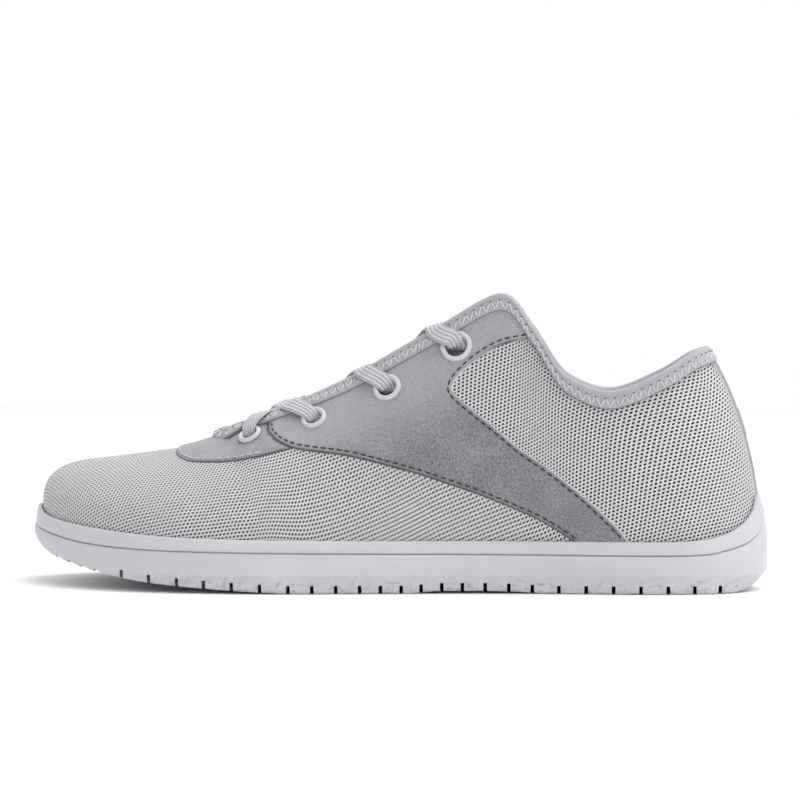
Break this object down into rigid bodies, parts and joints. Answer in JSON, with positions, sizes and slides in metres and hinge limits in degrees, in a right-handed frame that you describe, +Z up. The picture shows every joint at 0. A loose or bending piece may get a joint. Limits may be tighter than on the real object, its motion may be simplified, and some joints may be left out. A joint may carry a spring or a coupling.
{
  "type": "barefoot shoe",
  "caption": "Low knit shoe with a wide toe, thin flat cupsole, suede eyestay straps, flat laces and elastic binding",
  "frame": {"origin": "middle of the sole's length and width, on the floor", "axes": "+X toward the heel, -Y toward the outer side of the foot, +Z up"},
  "size_m": [0.2702, 0.1001, 0.1073],
  "materials": {
    "rubber": "matt moulded",
    "foam": "brushed",
    "knit": "open knit",
    "lining": "fine mesh",
    "suede": "microfibre nap",
    "elastic": "ribbed tape",
    "eyelet": "satin",
    "lace": "flat braid"
  },
  "bodies": {
    "root": {"outsole": "rubber", "insole": "foam", "upper": "knit", "tongue": "lining", "throat_saddle": "suede", "quarter_overlay_lateral": "suede", "quarter_overlay_medial": "suede", "backstay": "suede", "binding": "elastic", "eyelet_lateral_1": "eyelet", "eyelet_lateral_2": "eyelet", "eyelet_lateral_3": "eyelet", "eyelet_lateral_4": "eyelet", "eyelet_medial_1": "eyelet", "eyelet_medial_2": "eyelet", "eyelet_medial_3": "eyelet", "eyelet_medial_4": "eyelet", "lace_row_1": "lace", "lace_row_2": "lace", "lace_row_3": "lace"}
  },
  "joints": []
}
